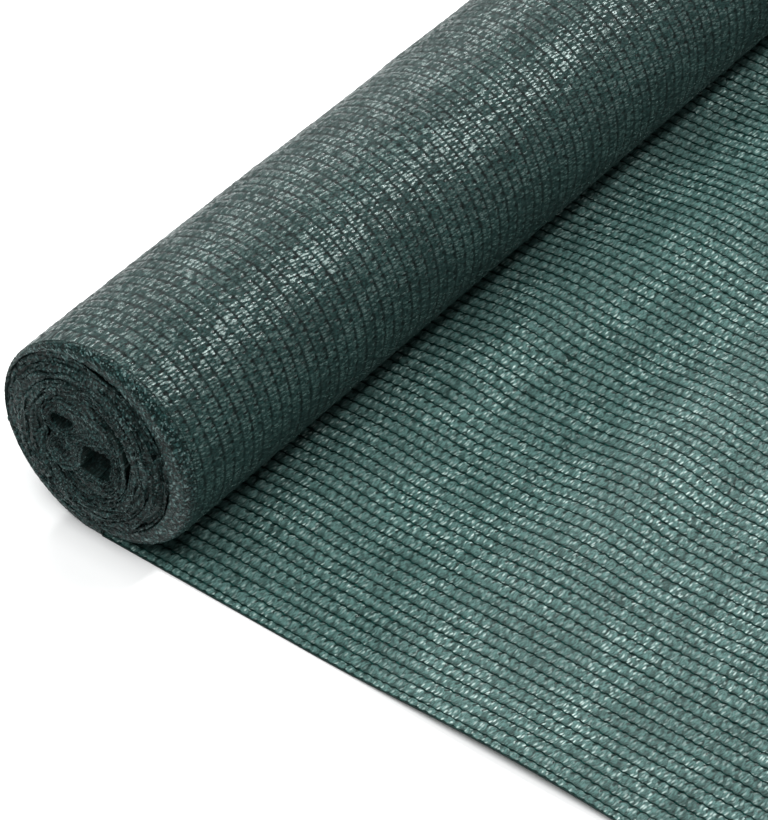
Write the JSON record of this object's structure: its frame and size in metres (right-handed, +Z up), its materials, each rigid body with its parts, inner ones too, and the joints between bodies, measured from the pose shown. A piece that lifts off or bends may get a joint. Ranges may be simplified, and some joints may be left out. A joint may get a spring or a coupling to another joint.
{
  "type": "privacy fence screen",
  "caption": "Knitted plastic privacy net for a fence, wound without a core into a roll that lies on the ground with its last stretch of cloth unrolled in front of it.",
  "frame": {"origin": "on the ground, in the middle of the footprint of the roll and its loose end", "axes": "+X along the roll, +Y from the loose end towards the roll, +Z up"},
  "size_m": [1.0046, 0.4092, 0.0968],
  "materials": {
    "knitted_net": "warp-knitted flat polyethylene tape, dark green, satin, slightly see-through in one layer"
  },
  "bodies": {
    "root": {"wound_roll": "knitted_net", "loose_end": "knitted_net"}
  },
  "joints": []
}
